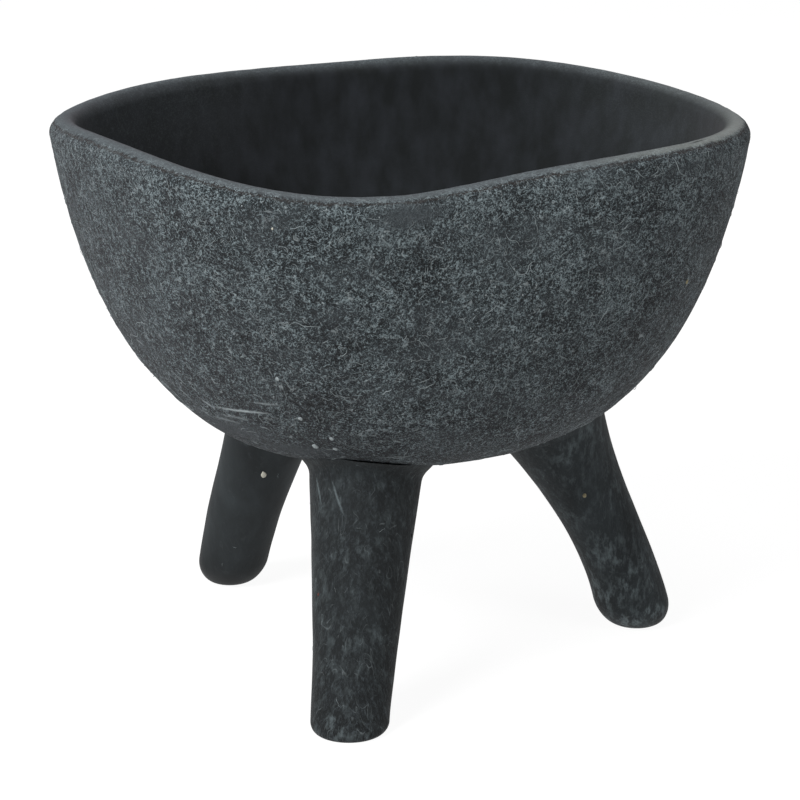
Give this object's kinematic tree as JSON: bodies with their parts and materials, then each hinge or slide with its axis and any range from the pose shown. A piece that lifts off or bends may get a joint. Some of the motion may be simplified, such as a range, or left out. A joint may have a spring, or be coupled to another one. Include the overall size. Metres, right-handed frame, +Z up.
{
  "type": "molcajete",
  "caption": "Hand-formed three-legged bowl with a thick, wavy rim and splayed stub legs, moulded in dark fibre pulp.",
  "frame": {"origin": "on the floor, under the middle of the bounding box", "axes": "+Z up out of the bowl's mouth, -Y towards the front leg, +X towards the right leg"},
  "size_m": [0.2064, 0.1898, 0.1716],
  "materials": {
    "pulp_bowl": "dry, felted fibre pulp dyed near black, with pale fibres in it",
    "pulp_leg": "the same pulp rubbed smoother and darker along the leg",
    "pulp_joint": "pulp smeared over the joint and pressed smooth"
  },
  "bodies": {
    "root": {"bowl": "pulp_bowl", "leg_front": "pulp_leg", "leg_right": "pulp_leg", "leg_rear_left": "pulp_leg", "bed_front": "pulp_joint", "bed_right": "pulp_joint", "bed_rear_left": "pulp_joint", "collar_front": "pulp_joint", "collar_right": "pulp_joint", "collar_rear_left": "pulp_joint"}
  },
  "joints": []
}
